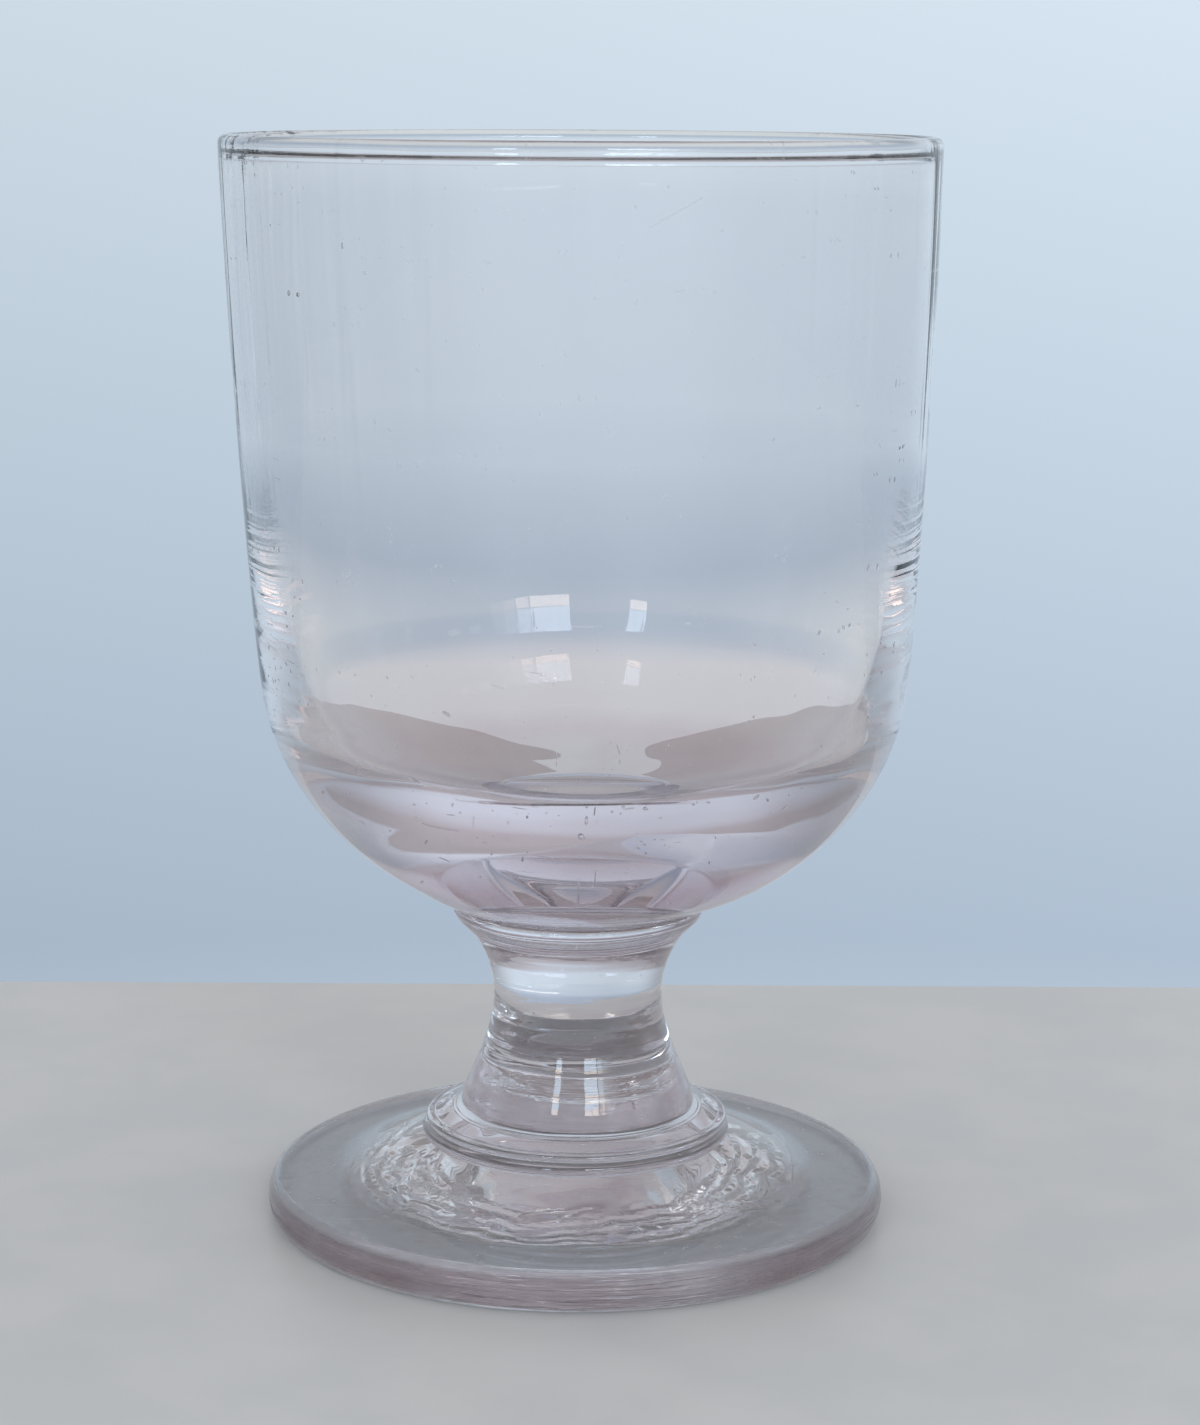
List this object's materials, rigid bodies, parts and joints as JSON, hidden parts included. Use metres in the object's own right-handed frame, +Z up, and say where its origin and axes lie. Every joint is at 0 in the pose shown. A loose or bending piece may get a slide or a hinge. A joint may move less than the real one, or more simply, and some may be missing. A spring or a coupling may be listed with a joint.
{
  "type": "rummer",
  "caption": "Heavy blown glass rummer for drinks: deep round-bottomed bowl on a collar, short waisted stem, stepped ring and wide domed foot.",
  "frame": {"origin": "centre of the foot's underside, on the surface that it stands on", "axes": "+Z is up along the glass's axis, out of the bowl's mouth; +X is the picture's right; the picture looks along +Y"},
  "size_m": [0.0998, 0.0998, 0.155],
  "materials": {
    "foot_glass": "clear glossy, faint amethyst tint, worn fine scratches",
    "stem_glass": "clear glossy, faint amethyst tint",
    "bowl_glass": "clear glossy, faint amethyst tint, fire-polished rim, a few seeds and scratches"
  },
  "bodies": {
    "root": {"foot": "foot_glass", "step_ring": "stem_glass", "stem": "stem_glass", "collar": "stem_glass", "bowl": "bowl_glass"}
  },
  "joints": []
}
